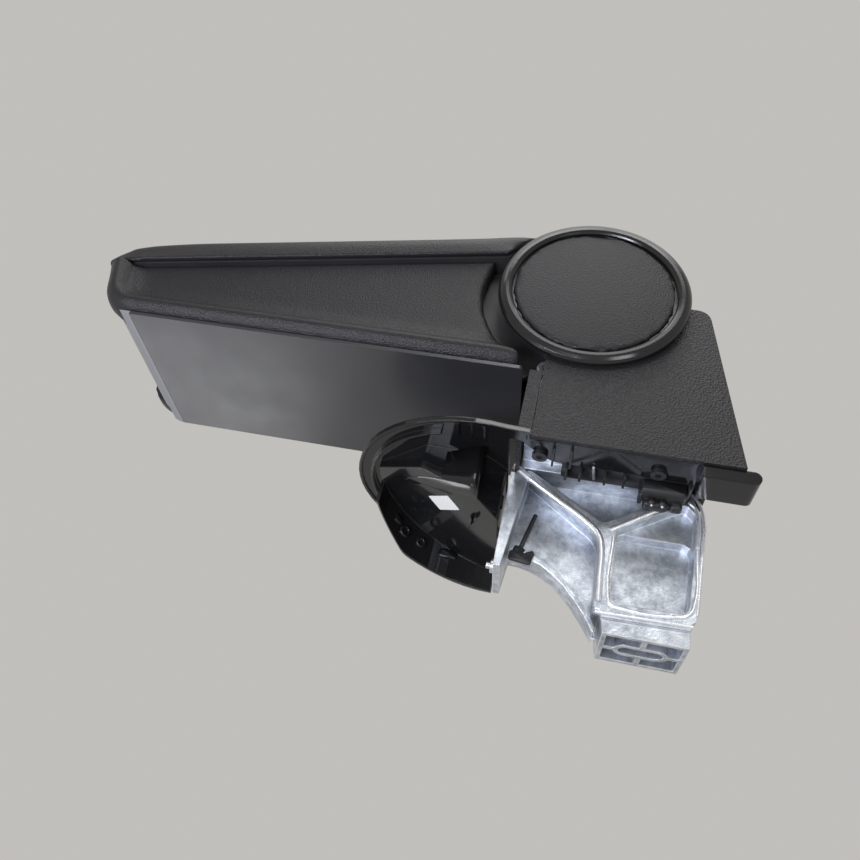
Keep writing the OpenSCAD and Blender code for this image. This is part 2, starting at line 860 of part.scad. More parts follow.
// Hook with a round end, on the left only, that goes into a slot of the console
module rear_hook() {
    hook_w = 22;
    hook_h = 8;
    hook_r = hook_h / 2;
    inner = flange_rear - 8;
    rear = pillar_rear + 8;
    top = flange_z - 0.02;
    near = -pillar_half + 2;
    translate([inner, near, top - hook_h]) cube([rear - hook_r - inner, hook_w, hook_h]);
    translate([rear - hook_r, near + hook_w, top - hook_r]) rotate([90, 0, 0])
        cylinder(r = hook_r, h = hook_w);
    translate([inner, near + 3, top - over]) cube([7, hook_w - 3, over + flange_rim - flange_wall + 0.1]);
}

window_front = -pillar_front - 3.5;
window_rear = flange_rear + 8;
module bracket_window() {
    half = rib_depth / 2 + 18.5;
    flare = 17;
    flare_l = 23;
    translate([0, 0, flange_z - big / 4]) linear_extrude(big / 2) polygon(rounded([
        [window_front, -half - flare, 2],
        [window_front + 6, -half - flare, 3],
        [window_front + flare_l, -half, 20],
        [window_rear, -half, 0],
        [window_rear, half, 0],
        [window_front + flare_l, half, 20],
        [window_front + 6, half + flare, 3],
        [window_front, half + flare, 2]
    ]));
}

// Screws that hold the base plate up against the bracket's cross plate
screw_r = 2.2;
cross_gap = 12;
module base_screws() {
    head_r = 4.4;
    head_h = 2.6;
    under = flange_z + flange_rim - flange_wall;
    color("#b9b9bd") at_pivot() for (p = boss_places, s = [-1, 1]) translate([p.x, s * p.y, 0]) {
        difference() {
            translate([0, 0, under - head_h]) cylinder(r = head_r, h = head_h);
            translate([0, 0, under - head_h - over]) cylinder(r = 2, h = over + 1.4, $fn = 6);
        }
        translate([0, 0, under - 0.2]) cylinder(r = screw_r, h = flange_z + cross_gap + 4 - under + 0.2);
    }
}

// Cast bracket: fork, ribbed web and foot
web_y = web_t / 2;
rib_y = rib_depth / 2;
cross_z = flange_z + cross_gap;
foot_front = foot_back - foot_l / 2;
foot_rear = foot_back + foot_l / 2;
spine_x = foot_front - 7;
knee_z = flange_z - 29;
shoe_z = foot_z + foot_h;
fin_x = -pillar_front - 2;
fin_top = flange_z + flange_rim - 1;
front_in = -pillar_front + pillar_wall + 0.3;

module bracket_body() {
    side(-rib_y, rib_y) polygon(rounded([
        [front_in, cross_z + 1, 0],
        [front_in, flange_z + 7, 4],
        [spine_x, knee_z, 14],
        [spine_x + 1, shoe_z, 3],
        [foot_front - 2, shoe_z - 2, 0],
        [foot_front, foot_z, 0],
        [foot_rear, foot_z, 0],
        [foot_rear, shoe_z, 0],
        [foot_rear + 3, shoe_z + 3, 2],
        [foot_rear + 5, flange_z - 12, 12],
        [foot_rear - 6, flange_z + 10, 6],
        [foot_rear - 6, cross_z + 1, 0]
    ]));
}

// Web in front of the spine, with its curved lower edge
function web_edge(n) = [for (i = [0:n]) let(t = i / n)
    [-pillar_front + 5 + (spine_x + pillar_front - 2) * t, flange_z - 46 - 38 * pow(t, 2.2)]];

module front_web() {
    edge = web_edge(8);
    side(-web_y, web_y) polygon(concat(
        [[fin_x + 2, fin_top]],
        [[front_in, fin_top]],
        [[front_in, flange_z + 9]],
        [[spine_x + 2, knee_z + 4]],
        [[spine_x + 2, shoe_z - 4]],
        [for (i = [8:-1:0]) edge[i]],
        [[fin_x + 2, flange_z - 50]]
    ));
    side(-web_y - 5, web_y + 5) polygon(concat(
        [for (p = edge) p],
        [for (i = [8:-1:0]) edge[i] + [0.6, 3.4]]
    ));
    side(-rib_y, rib_y) polygon([
        [fin_x, fin_top],
        [front_in, fin_top],
        [front_in, flange_z + 9],
        [fin_x + 11, flange_z + 4],
        [fin_x + 11, flange_z + 2],
        [fin_x + 4, flange_z - 60],
        [fin_x, flange_z - 60]
    ]);
}

// Pockets between the ribs, cut from one side down to the web
module pockets() {
    depth = rib_y - web_y;
    inner_x = spine_x + rib_t + 4;
    outer_x = foot_rear + 5 - rib_t;
    side(-rib_y - over, -rib_y + depth) {
        polygon(rounded([
            [-pillar_front + 6, cross_z - cross_t, 0],
            [-pillar_front + 6, flange_z + 7, 3],
            [spine_x + 1, knee_z + 6.5, 5],
            [foot_rear - 11, flange_z + 4, 3],
            [foot_rear - 11, cross_z - cross_t, 0]
        ]));
        polygon(rounded([
            [inner_x, shoe_z + 4, 5],
            [inner_x, knee_z - 6.5, 5],
            [outer_x, knee_z - 6.5, 5],
            [outer_x - 1.5, shoe_z + 5, 5]
        ]));
    }
    side(-rib_y - over, -rib_y + depth * 0.55) polygon(rounded([
        [inner_x, knee_z - 12, 0],
        [inner_x, knee_z + 6.5 - fine_rib_t, 3],
        [foot_rear - 6, flange_z - fine_rib_t * 0.5, 4],
        [outer_x, flange_z - 8, 4],
        [outer_x, knee_z - 12, 0]
    ]));
}

module oval(l, w) {
    square([l - w, w], center = true);
    for (s = [-1, 1]) translate([s * (l - w) / 2, 0]) circle(d = w);
}

// Sockets in the foot's underside: one oval, and four cells round it
module foot_sockets() {
    wall = 2.6;
    cell_l = (foot_l - 2 * wall - 3) / 2;
    cell_w = (rib_depth - 2 * wall - 3) / 2;
    translate([foot_back, 0, foot_z - over]) linear_extrude(socket_depth + over) oval(socket_l, socket_w);
    translate([foot_back, 0, foot_z - over]) linear_extrude(socket_depth + over) difference() {
        for (i = [-1, 1], j = [-1, 1])
            translate([i * (cell_l + 3) / 2, j * (cell_w + 3) / 2]) square([cell_l, cell_w], center = true);
        oval(socket_l + 2 * wall, socket_w + 2 * wall);
    }
}

stop_place = [-21.5, -arm_drop + 9];
stop_r = 3;
module fork() {
    translate([-pillar_front + pillar_wall + 1, -ear_y - ear_t, cross_z])
        cube([foot_rear - 6 + pillar_front - pillar_wall - 1, 2 * (ear_y + ear_t), cross_t]);
    for (s = [0, 1]) sided(s == 1) side(-ear_y - ear_t, -ear_y) union() {
        circle(r = ear_r);
        polygon([
            [-pillar_front + pillar_wall + 1, cross_z + 1],
            [-0.8 * ear_r, -0.3 * ear_r],
            [0.8 * ear_r, -0.3 * ear_r],
            [foot_rear - 16, cross_z + 1]
        ]);
        translate(stop_place) circle(r = stop_r + 2.2);
    }
}

module cast_bracket() {
    color("#c3c9d1") at_pivot() difference() {
        union() {
            bracket_body();
            front_web();
            fork();
        }
        for (s = [0, 1]) sided(s == 1) pockets();
        foot_sockets();
        bar(axle_r + run_gap, -big / 4, big / 4);
        translate([stop_place.x, 0, stop_place.y]) bar(stop_r + run_gap, -big / 4, big / 4);
        for (p = boss_places, s = [-1, 1]) translate([p.x, s * p.y, cross_z - over])
            cylinder(r = screw_r + run_gap, h = 5 + over);
        translate([fin_x - over, 0, stud_z]) rotate([0, 90, 0]) cylinder(r = stud_r + run_gap, h = over + stud_in + 0.2);
    }
}

// Stop pin across the fork, with a rubber sleeve that the arm's lug rests on
module stop_pin() {
    color("#a9abb0") at_pivot() translate([stop_place.x, 0, stop_place.y])
        bar(stop_r, -ear_y - ear_t, ear_y + ear_t);
}

module stop_sleeve() {
    sleeve_half = 22;
    sleeve_r = 5.4;
    color("#161616") at_pivot() translate([stop_place.x, 0, stop_place.y]) difference() {
        bar(sleeve_r, -sleeve_half, sleeve_half);
        bar(stop_r + 0.02, -sleeve_half - over, sleeve_half + over);
    }
}

// Pivot axle with a head, and its nut
axle_end = ear_y + ear_t;
module pivot_axle() {
    color("#a9abb0") at_pivot() union() {
        bar(axle_r, -axle_end, axle_end + 5.4);
        bar(axle_r + 3.5, -axle_end - 3, -axle_end);
    }
}

module axle_nut() {
    nut_t = 4.6;
    color("#a9abb0") at_pivot() translate([0, axle_end + nut_t, 0]) rotate([90, 0, 0]) difference() {
        cylinder(r = axle_r + 6, h = nut_t, $fn = 6);
        translate([0, 0, -over]) cylinder(r = axle_r + run_gap, h = nut_t + 2 * over);
    }
}

// Side disc: a glossy bezel with a spigot on the fork's ear, and a padded inlay
module disc_bezel(right) {
    back = disc_face - disc_rim;
    crown = 2.2;
    spigot_r = axle_r + 11;
    bore_r = axle_r + 7;
    profile = [
        [bore_r, axle_end],
        [spigot_r, axle_end],
        [spigot_r, back],
        [disc_r - 1.5, back],
        [disc_r, back + 1.5],
        [disc_r - 0.3, back + 3],
        [disc_r - 1.4, disc_face - 1.6],
        [disc_r - 3, disc_face - 0.4],
        [disc_r - 4.8, disc_face],
        [disc_r - 6.6, disc_face - 0.4],
        [inlay_r + 1, disc_face - crown * 0.6],
        [inlay_r + 0.3, disc_face - crown],
        [inlay_r + 0.3, back + 2],
        [bore_r, back + 2]
    ];
    color("#18181a") at_pivot() sided(right) rotate([90, 0, 0]) rotate_extrude() polygon(profile);
}

module disc_bezel_left() {
    disc_bezel(false);
}

module disc_bezel_right() {
    disc_bezel(true);
}

module disc_inlay(right) {
    base = disc_face - disc_rim + 2;
    dome = 1.2;
    color("#3b3a3d") at_pivot() sided(right) rotate([90, 0, 0]) rotate_extrude() polygon([
        [0, base],
        [inlay_r, base],
        [inlay_r, base + 0.6 * inlay_t],
        [inlay_r - 1.5, base + 0.85 * inlay_t],
        [inlay_r - 5, base + inlay_t],
        [inlay_r * 0.5, base + inlay_t + 0.8 * dome - 0.3],
        [0, base + inlay_t + dome - 0.3]
    ]);
}

module disc_inlay_left() {
    disc_inlay(false);
}

module disc_inlay_right() {
    disc_inlay(true);
}

// Stud with a collar at the foot of the bracket's front rib
stud_r = 2;
stud_z = flange_z - 52;
stud_in = 3.5;
module rib_stud() {
    color("#b9b9bd") at_pivot() translate([fin_x, 0, stud_z]) rotate([0, -90, 0]) union() {
        cylinder(r = stud_r + 2.2, h = 2.4);
        translate([0, 0, -stud_in]) cylinder(r = stud_r, h = stud_in + 5);
    }
}

// Black clip that grips the web's rim, with a strap up behind the front rib
module retaining_clip() {
    clip_y = -web_y - 5;
    clip_t = 3.2;
    clip_x = -pillar_front + 6.5;
    clip_l = 11;
    rim_z = flange_z - 42.2;
    strap_w = 2.6;
    color("#141415") at_pivot() union() {
        side(clip_y - clip_t, clip_y - 0.02) translate([clip_x, rim_z - 13]) square([clip_l, 16]);
        side(clip_y - clip_t, -web_y) translate([clip_x, rim_z]) square([clip_l, 3]);
        side(-web_y - clip_t, -web_y) translate([clip_x + 1.2, rim_z + 1.5]) rotate(-7) square([strap_w, 26]);
    }
}

// Black guide block behind the flange, with two small pins
module guide_block() {
    block_t = 3.6;
    block_l = 24;
    block_drop = 10;
    block_x = foot_rear - 40;
    pin_pitch = 7;
    color("#161617") at_pivot() union() {
        translate([block_x, -rib_y - block_t, flange_z - block_drop])
            cube([block_l, block_t, block_drop + flange_rim - flange_wall]);
        for (i = [0, 1]) translate([block_x + 10 + i * pin_pitch, -rib_y - 2, flange_z - block_drop - 2])
            cylinder(r = 1.4, h = 3);
    }
}

cast_bracket();
base_plate();
base_screws();
rib_stud();
retaining_clip();
guide_block();
pillar_side_left();
pillar_side_right();
pillar_front_cover();
pillar_rear_cover();
pivot_axle();
axle_nut();
stop_pin();
stop_sleeve();
disc_bezel_left();
disc_bezel_right();
disc_inlay_left();
disc_inlay_right();
storage_bin();
bin_mat();
bush_left();
bush_right();
hub_cover();
side_cover_left();
side_cover_right();
bottom_cover();
front_cap();
keeper_plate();
lid_base();
lid_pad();
lid_buffers();
latch_slider();
latch_spring();
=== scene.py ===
import bpy
import bmesh
import json
import math
from mathutils import Matrix, Vector


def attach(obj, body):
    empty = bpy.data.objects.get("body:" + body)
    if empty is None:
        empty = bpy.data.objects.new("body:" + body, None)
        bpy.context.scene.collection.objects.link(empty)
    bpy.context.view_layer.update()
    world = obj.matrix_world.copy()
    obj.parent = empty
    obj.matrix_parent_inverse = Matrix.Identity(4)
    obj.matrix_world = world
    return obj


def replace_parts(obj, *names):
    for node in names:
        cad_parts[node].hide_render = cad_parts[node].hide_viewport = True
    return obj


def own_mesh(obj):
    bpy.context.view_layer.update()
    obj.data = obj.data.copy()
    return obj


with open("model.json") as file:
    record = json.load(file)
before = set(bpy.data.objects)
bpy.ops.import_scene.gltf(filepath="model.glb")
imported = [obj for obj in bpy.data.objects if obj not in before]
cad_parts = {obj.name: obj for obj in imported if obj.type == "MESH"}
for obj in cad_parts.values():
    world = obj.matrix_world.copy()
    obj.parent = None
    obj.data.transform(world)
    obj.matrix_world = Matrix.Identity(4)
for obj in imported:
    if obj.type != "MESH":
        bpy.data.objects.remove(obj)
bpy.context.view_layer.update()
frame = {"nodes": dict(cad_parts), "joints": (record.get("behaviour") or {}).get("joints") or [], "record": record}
scene = bpy.context.scene
nodes = frame["nodes"]
joints = {joint["name"]: joint for joint in frame["joints"]}
slot_of = {part["node"]: part["material_slot"] for part in frame["record"]["subparts"]}

# The arm's pivot in the row frame, the angle by which the lid slopes down to the front, and the axes' ways
PIVOT = Vector(joints["arm_pivot"]["pos_m"])
SLOPE = math.radians(10.9)
REARWARD = Vector((1, 0, 0))
ACROSS = Vector((0, 1, 0))
UP = Vector((0, 0, 1))


def at(x, y, z):
    """A point given in millimetres from the middle of the pivot's axis."""
    return PIVOT + Vector((x, y, z)) / 1000


def from_pivot(co):
    """A vertex in millimetres from the middle of the pivot's axis."""
    return (Vector(co) - PIVOT) * 1000


# Camera: sensor and lens in millimetres, its place, and the ways of the picture's right and down
SENSOR_WIDTH = 36
LENS = 34.2
CLIP_START = 0.01
CAMERA_PLACE = Vector((-0.0543, -0.4334, -0.1716))
PICTURE_RIGHT = Vector((0.974, 0.051, 0.221))
PICTURE_DOWN = Vector((0.152, 0.577, -0.803))


def build_camera():
    """The camera at the photograph's viewing angle."""
    data = bpy.data.cameras.new("view")
    data.sensor_width = SENSOR_WIDTH
    data.lens = LENS
    data.clip_start = CLIP_START
    camera = bpy.data.objects.new("view", data)
    scene.collection.objects.link(camera)
    right = PICTURE_RIGHT.normalized()
    down = (PICTURE_DOWN - right * PICTURE_DOWN.dot(right)).normalized()
    turn = Matrix((right, -down, -right.cross(down))).transposed()
    camera.matrix_world = Matrix.Translation(CAMERA_PLACE) @ turn.to_4x4()
    scene.camera = camera
    scene.view_settings.view_transform = "Standard"


build_camera()


# Shader nodes, and each material by its name as it is made
LOOKS = {}


def make_node(tree, kind, sockets=None, **settings):
    """A shader node with its settings, and its input sockets set to values or linked to other sockets."""
    made = tree.nodes.new(kind)
    for key, value in settings.items():
        setattr(made, key, value)
    for name, value in (sockets or {}).items():
        if isinstance(value, bpy.types.NodeSocket):
            tree.links.new(value, made.inputs[name])
        else:
            made.inputs[name].default_value = value
    return made


class Mat:
    """A node material under construction, in the coordinates of the object that wears it."""

    def __init__(self, name):
        self.mat = bpy.data.materials.new(name)
        self.mat.use_nodes = True
        LOOKS[name] = self.mat
        self.tree = self.mat.node_tree
        self.shader = self.tree.nodes["Principled BSDF"]
        self.place = self.node("ShaderNodeTexCoord").outputs["Object"]

    def node(self, kind, sockets=None, **settings):
        return make_node(self.tree, kind, sockets, **settings)

    def noise(self, scale, detail=3, rough=0.5, stretch=None):
        """Smooth noise, which may be drawn out along an axis."""
        place = self.place
        if stretch:
            place = self.node("ShaderNodeMapping", {"Vector": place, "Scale": stretch}).outputs["Vector"]
        sockets = {"Vector": place, "Scale": scale, "Detail": detail, "Roughness": rough}
        return self.node("ShaderNodeTexNoise", sockets).outputs["Fac"]

    def cells(self, scale, feature="F1", smooth=None):
        """The distance to the nearest of many scattered points."""
        sockets = {"Vector": self.place, "Scale": scale}
        if smooth is not None:
            sockets["Smoothness"] = smooth
        return self.node("ShaderNodeTexVoronoi", sockets, feature=feature).outputs["Distance"]

    def spread(self, value, low, high, start=0.0, end=1.0):
        """Low at start and high at end, and straight between them."""
        sockets = {"Value": value, "From Min": start, "From Max": end, "To Min": low, "To Max": high}
        return self.node("ShaderNodeMapRange", sockets).outputs["Result"]

    def between(self, first, second, share):
        """A number between two others."""
        sockets = {"Factor": share, "A": first, "B": second}
        return self.node("ShaderNodeMix", sockets, data_type="FLOAT").outputs["Result"]

    def blend(self, share, first, second):
        """A colour between two others, each of them a socket or three numbers."""
        sockets = {"Factor": share}
        for name, value in (("A", first), ("B", second)):
            sockets[name] = (*value, 1) if isinstance(value, tuple) else value
        return self.node("ShaderNodeMix", sockets, data_type="RGBA").outputs["Result"]

    def bump(self, height, strength, distance, under=None):
        """A normal with a height on it, over the normal under it if one is given."""
        sockets = {"Height": height, "Strength": strength, "Distance": distance}
        if under is not None:
            sockets["Normal"] = under
        return self.node("ShaderNodeBump", sockets).outputs["Normal"]

    def edge(self, radius):
        """A normal that rounds the edges off."""
        return self.node("ShaderNodeBevel", {"Radius": radius}, samples=4).outputs["Normal"]

    def edge_mask(self, radius, start=0.998, end=0.90):
        """How far a point lies on an edge, from 0 to 1."""
        true = self.node("ShaderNodeNewGeometry").outputs["Normal"]
        dot = self.node("ShaderNodeVectorMath", {0: self.edge(radius), 1: true}, operation="DOT_PRODUCT")
        return self.spread(dot.outputs["Value"], 0, 1, start, end)

    def set(self, **values):
        """Sets or links the shader's sockets."""
        for key, value in values.items():
            socket = self.shader.inputs[key.replace("_", " ")]
            if isinstance(value, bpy.types.NodeSocket):
                self.tree.links.new(value, socket)
            else:
                socket.default_value = value


# World, floor and lamps, with the floor's height and its reach each way in metres
BACKDROP = (0.535, 0.522, 0.498, 1)
SKY_COLOR = (0.97, 0.98, 1.0, 1)
SKY_STRENGTH = 0.34
FLOOR_COLOR = (0.42, 0.41, 0.39, 1)
FLOOR_GLOW = 0.66
FLOOR_HEIGHT = -0.36
FLOOR_REACH = 14


def seen_directly(tree):
    """1 for camera, glossy and transmission rays, and 0 for the rest."""
    path = make_node(tree, "ShaderNodeLightPath")
    value = path.outputs["Is Camera Ray"]
    for kind in ("Is Glossy Ray", "Is Transmission Ray"):
        value = make_node(tree, "ShaderNodeMath", {0: value, 1: path.outputs[kind]},
                          operation="MAXIMUM").outputs["Value"]
    return value


def build_world():
    """Soft light from all round, and the backdrop's colour where the world is seen."""
    world = bpy.data.worlds.new("studio")
    scene.world = world
    world.use_nodes = True
    tree = world.node_tree
    tree.nodes.clear()
    soft = make_node(tree, "ShaderNodeBackground", {"Color": SKY_COLOR, "Strength": SKY_STRENGTH})
    seen = make_node(tree, "ShaderNodeBackground", {"Color": BACKDROP})
    mix = make_node(tree, "ShaderNodeMixShader", {
        "Fac": seen_directly(tree), 1: soft.outputs["Background"], 2: seen.outputs["Background"]})
    make_node(tree, "ShaderNodeOutputWorld", {"Surface": mix.outputs["Shader"]})


def floor_paper():
    """Pale paper that takes shadows, and is clear from below."""
    m = Mat("floor_paper")
    m.set(Base_Color=FLOOR_COLOR, Roughness=0.9)
    paper_only = m.shader.outputs["BSDF"]
    glow = m.node("ShaderNodeEmission", {"Color": BACKDROP, "Strength": FLOOR_GLOW})
    both = m.node("ShaderNodeAddShader", {0: paper_only, 1: glow.outputs["Emission"]})
    lit = m.node("ShaderNodeMixShader", {
        "Fac": seen_directly(m.tree), 1: paper_only, 2: both.outputs["Shader"]})
    through = m.node("ShaderNodeBsdfTransparent")
    facing = m.node("ShaderNodeNewGeometry")
    mix = m.node("ShaderNodeMixShader", {
        "Fac": facing.outputs["Backfacing"], 1: lit.outputs["Shader"], 2: through.outputs["BSDF"]})
    m.tree.links.new(mix.outputs["Shader"], m.tree.nodes["Material Output"].inputs["Surface"])
    return m.mat


def build_floor():
    """A pale floor that only shows from above."""
    bm = bmesh.new()
    bmesh.ops.create_grid(bm, x_segments=1, y_segments=1, size=FLOOR_REACH)
    mesh = bpy.data.meshes.new("floor")
    bm.to_mesh(mesh)
    bm.free()
    mesh.materials.append(floor_paper())
    floor = bpy.data.objects.new("floor", mesh)
    scene.collection.objects.link(floor)
    floor.location = (0, 0, FLOOR_HEIGHT)
    return floor


def lamp(name, place, aim, power, size, size_y=None, color=(1, 1, 1)):
    """A rectangular lamp that points at aim, in metres and watts."""
    data = bpy.data.lights.new(name, "AREA")
    data.shape = "RECTANGLE"
    data.size = size
    data.size_y = size_y or size
    data.energy = power
    data.color = color
    obj = bpy.data.objects.new(name, data)
    scene.collection.objects.link(obj)
    obj.location = place
    obj.rotation_euler = (Vector(aim) - Vector(place)).to_track_quat("-Z", "Y").to_euler()
    obj.visible_camera = False
    return obj


def build_lamps(floor):
    """Two lamps from above, and three low ones that don't light the floor."""
    lamp("over", place=(-0.15, -0.35, 1.15), aim=(-0.15, 0, 0.15), power=5.0, size=0.9)
    lamp("front", place=(-0.04, -1.08, 0.88), aim=(0, 0, 0.06), power=3.6, size=0.4)
    low_lamps = (
        lamp("low_strip", place=(-0.42, -0.50, -0.33), aim=(-0.22, -0.05, 0.13), power=6.5,
             size=0.66, size_y=0.12, color=(0.86, 0.89, 1.0)),
        lamp("below_front", place=(0.45, -0.85, -0.30), aim=(0.0, 0, 0.04), power=1.6,
             size=0.3, color=(0.97, 0.98, 1.0)),
        lamp("below_far", place=(-0.68, 0.58, -0.31), aim=(-0.25, 0, 0.14), power=1.05,
             size=0.44, size_y=0.18, color=(0.94, 0.95, 1.0)),
    )
    not_floor = bpy.data.collections.new("not_floor")
    not_floor.objects.link(floor)
    not_floor.collection_objects[0].light_linking.link_state = "EXCLUDE"
    for low in low_lamps:
        low.light_linking.receiver_collection = not_floor


build_world()
build_lamps(build_floor())


# Materials, with bump distances and edge radii in metres
def leatherette():
    """Fine-grained artificial leather."""
    m = Mat("leatherette")
    grain = m.cells(scale=1050, feature="SMOOTH_F1", smooth=0.35)
    fine = m.noise(scale=2600, detail=2, rough=0.6)
    broad = m.noise(scale=9)
    shade = m.spread(broad, 0, 1, start=0.3, end=0.7)
    m.set(
        Base_Color=m.blend(shade, (0.0125, 0.0118, 0.0136), (0.0185, 0.0174, 0.0200)),
        Roughness=m.spread(m.between(broad, grain, share=0.4), 0.34, 0.46, start=0.2, end=0.8),
        Normal=m.bump(m.between(grain, fine, share=0.3), strength=0.75, distance=0.0005),
        Specular_IOR_Level=0.30)


def grained_plastic():
    """The pillar's pebble-grained plastic."""
    m = Mat("grained_plastic")
    grain = m.cells(scale=760, feature="SMOOTH_F1", smooth=0.2)
    fine = m.noise(scale=2200, detail=2, rough=0.6)
    broad = m.noise(scale=14)
    m.set(
        Base_Color=m.blend(broad, (0.0155, 0.0142, 0.0157), (0.0225, 0.0208, 0.0227)),
        Roughness=m.spread(broad, 0.40, 0.48),
        Normal=m.bump(m.between(grain, fine, share=0.25), strength=0.8, distance=0.0007,
                      under=m.edge(0.0006)),
        Specular_IOR_Level=0.32)


def gloss_plastic(name, dark, light, rough=(0.10, 0.22), shine=0.5, soft=0.0005):
    """Polished black plastic with a faint wave and smears, and edges rounded by soft."""
    m = Mat(name)
    wave = m.noise(scale=26, detail=2, rough=0.4)
    smear = m.noise(scale=60, detail=4, rough=0.6, stretch=(1, 4, 1))
    m.set(
        Base_Color=m.blend(smear, dark, light),
        Roughness=m.spread(smear, *rough, start=0.3, end=0.7),
        Normal=m.bump(wave, strength=0.12, distance=0.001, under=m.edge(soft)),
        Specular_IOR_Level=shine)


def satin_plastic(name, dark, light, low=0.34, high=0.44):
    """Fine-textured plastic, with a roughness from low to high."""
    m = Mat(name)
    fine = m.noise(scale=1900, detail=2)
    wave = m.noise(scale=12, detail=2, rough=0.4)
    smear = m.noise(scale=22, detail=4, rough=0.6)
    waved = m.bump(wave, strength=0.06, distance=0.001, under=m.edge(0.0004))
    m.set(
        Base_Color=m.blend(smear, dark, light),
        Roughness=m.spread(smear, low, high, start=0.3, end=0.7),
        Normal=m.bump(fine, strength=0.10, distance=0.0002, under=waved))


# How far the casting's edges are rounded, and how wide the painted highlight along them is
CAST_ROUND = 0.0011


def cast_metal():
    """Raw cast metal, mottled and pitted, with a painted highlight along its edges."""
    m = Mat("cast_metal")
    mottle = m.noise(scale=150, detail=6, rough=0.68)
    cloud = m.noise(scale=34, rough=0.55)
    pits = m.cells(scale=900)
    skin = m.between(mottle, cloud, share=0.4)
    # A mask along the edges: near them the colour turns nearly white, as a painted highlight
    edges = m.edge_mask(CAST_ROUND)
    dull = m.blend(m.spread(skin, 0, 1, start=0.40, end=0.62), (0.30, 0.33, 0.38), (0.72, 0.76, 0.82))
    skin_rough = m.spread(skin, 0.46, 0.30, start=0.35, end=0.65)
    edge_rough = m.spread(edges, 0.40, 0.22)
    m.set(
        Base_Color=m.blend(edges, dull, (0.93, 0.95, 0.98)),
        Metallic=0.9,
        Roughness=m.between(skin_rough, edge_rough, share=0.4),
        Normal=m.bump(m.between(mottle, pits, share=0.3), strength=0.35, distance=0.0006,
                      under=m.edge(CAST_ROUND)))


def cast_edge_highlight():
    """The ribs' rims, lighter in colour as a painted highlight."""
    m = Mat("cast_edge_highlight")
    mottle = m.noise(scale=210, detail=5, rough=0.6)
    shade = m.spread(mottle, 0, 1, start=0.35, end=0.65)
    m.set(
        Base_Color=m.blend(shade, (0.74, 0.77, 0.82), (0.96, 0.97, 0.99)),
        Metallic=0.85,
        Roughness=m.spread(mottle, 0.36, 0.24, start=0.35, end=0.65),
        Normal=m.bump(mottle, strength=0.3, distance=0.0006))


def steel():
    """Turned steel, with its marks drawn out along one way."""
    m = Mat("steel")
    turned = m.noise(scale=700, stretch=(1, 0.1, 1))
    m.set(
        Base_Color=m.blend(turned, (0.50, 0.50, 0.52), (0.68, 0.68, 0.70)),
        Metallic=1.0,
        Roughness=m.spread(turned, 0.25, 0.4),
        Normal=m.bump(turned, strength=0.1, distance=0.0002, under=m.edge(0.0004)))


def rubber(name):
    """Dull black rubber."""
    m = Mat(name)
    fine = m.noise(scale=1500, rough=0.6)
    m.set(
        Base_Color=m.blend(fine, (0.016, 0.016, 0.016), (0.026, 0.026, 0.026)),
        Roughness=m.spread(fine, 0.7, 0.85),
        Normal=m.bump(fine, strength=0.2, distance=0.0003))


def label_paper():
    """White label paper."""
    m = Mat("label_paper")
    fibre = m.noise(scale=1800, rough=0.6)
    m.set(
        Base_Color=m.blend(fibre, (0.80, 0.80, 0.78), (0.88, 0.88, 0.87)),
        Roughness=m.spread(fibre, 0.45, 0.6),
        Normal=m.bump(fibre, strength=0.05, distance=0.0001))


leatherette()
grained_plastic()
gloss_plastic("gloss_black", (0.006, 0.006, 0.0065), (0.010, 0.010, 0.0105))
gloss_plastic("base_plastic", (0.007, 0.007, 0.0075), (0.011, 0.011, 0.012),
              rough=(0.07, 0.15), shine=0.4, soft=0.0012)
satin_plastic("black_plastic", (0.012, 0.012, 0.013), (0.020, 0.020, 0.021), 0.40, 0.55)
satin_plastic("bin_plastic", (0.020, 0.020, 0.021), (0.028, 0.028, 0.030), 0.45, 0.60)
satin_plastic("cover_plastic", (0.024, 0.024, 0.027), (0.033, 0.033, 0.037), 0.28, 0.36)
satin_plastic("cap_plastic", (0.21, 0.21, 0.222), (0.25, 0.25, 0.262))
satin_plastic("bush_plastic", (0.62, 0.60, 0.54), (0.70, 0.68, 0.62), 0.40, 0.50)
cast_metal()
cast_edge_highlight()
steel()
satin_plastic("black_steel", (0.010, 0.010, 0.011), (0.018, 0.018, 0.020), 0.35, 0.50)
rubber("buffer_rubber")
rubber("mat_rubber")
label_paper()


def dress_solids():
    """Each CAD solid gets the look of its material slot."""
    for name, obj in nodes.items():
        look = LOOKS[slot_of[name]]
        if not obj.material_slots:
            obj.data.materials.append(look)
        for entry in obj.material_slots:
            entry.material = look


dress_solids()


# Upholstery, in millimetres from the pivot: the parting under the lid's pad, and the covers' inner side
PARTING = 36.3
COVER_IN = 47.0
SETTLE_ROUNDS = 8
CLOTH_FRAMES = 20


def clamp(value):
    return min(1.0, max(0.0, value))


def bake(piece):
    """Puts the modifiers' result into the piece's mesh."""
    graph = bpy.context.evaluated_depsgraph_get()
    graph.update()
    made = bpy.data.meshes.new_from_object(piece.evaluated_get(graph))
    piece.modifiers.clear()
    piece.data = made


def relax(piece, rounds, held):
    """Rounds the edges off, apart from the held vertices."""
    bm = bmesh.new()
    bm.from_mesh(piece.data)
    free = [v for v in bm.verts if not held(from_pivot(v.co))]
    for _ in range(rounds):
        bmesh.ops.smooth_vert(bm, verts=free, factor=0.5,
                              use_axis_x=True, use_axis_y=True, use_axis_z=True)
    bm.to_mesh(piece.data)
    bm.free()


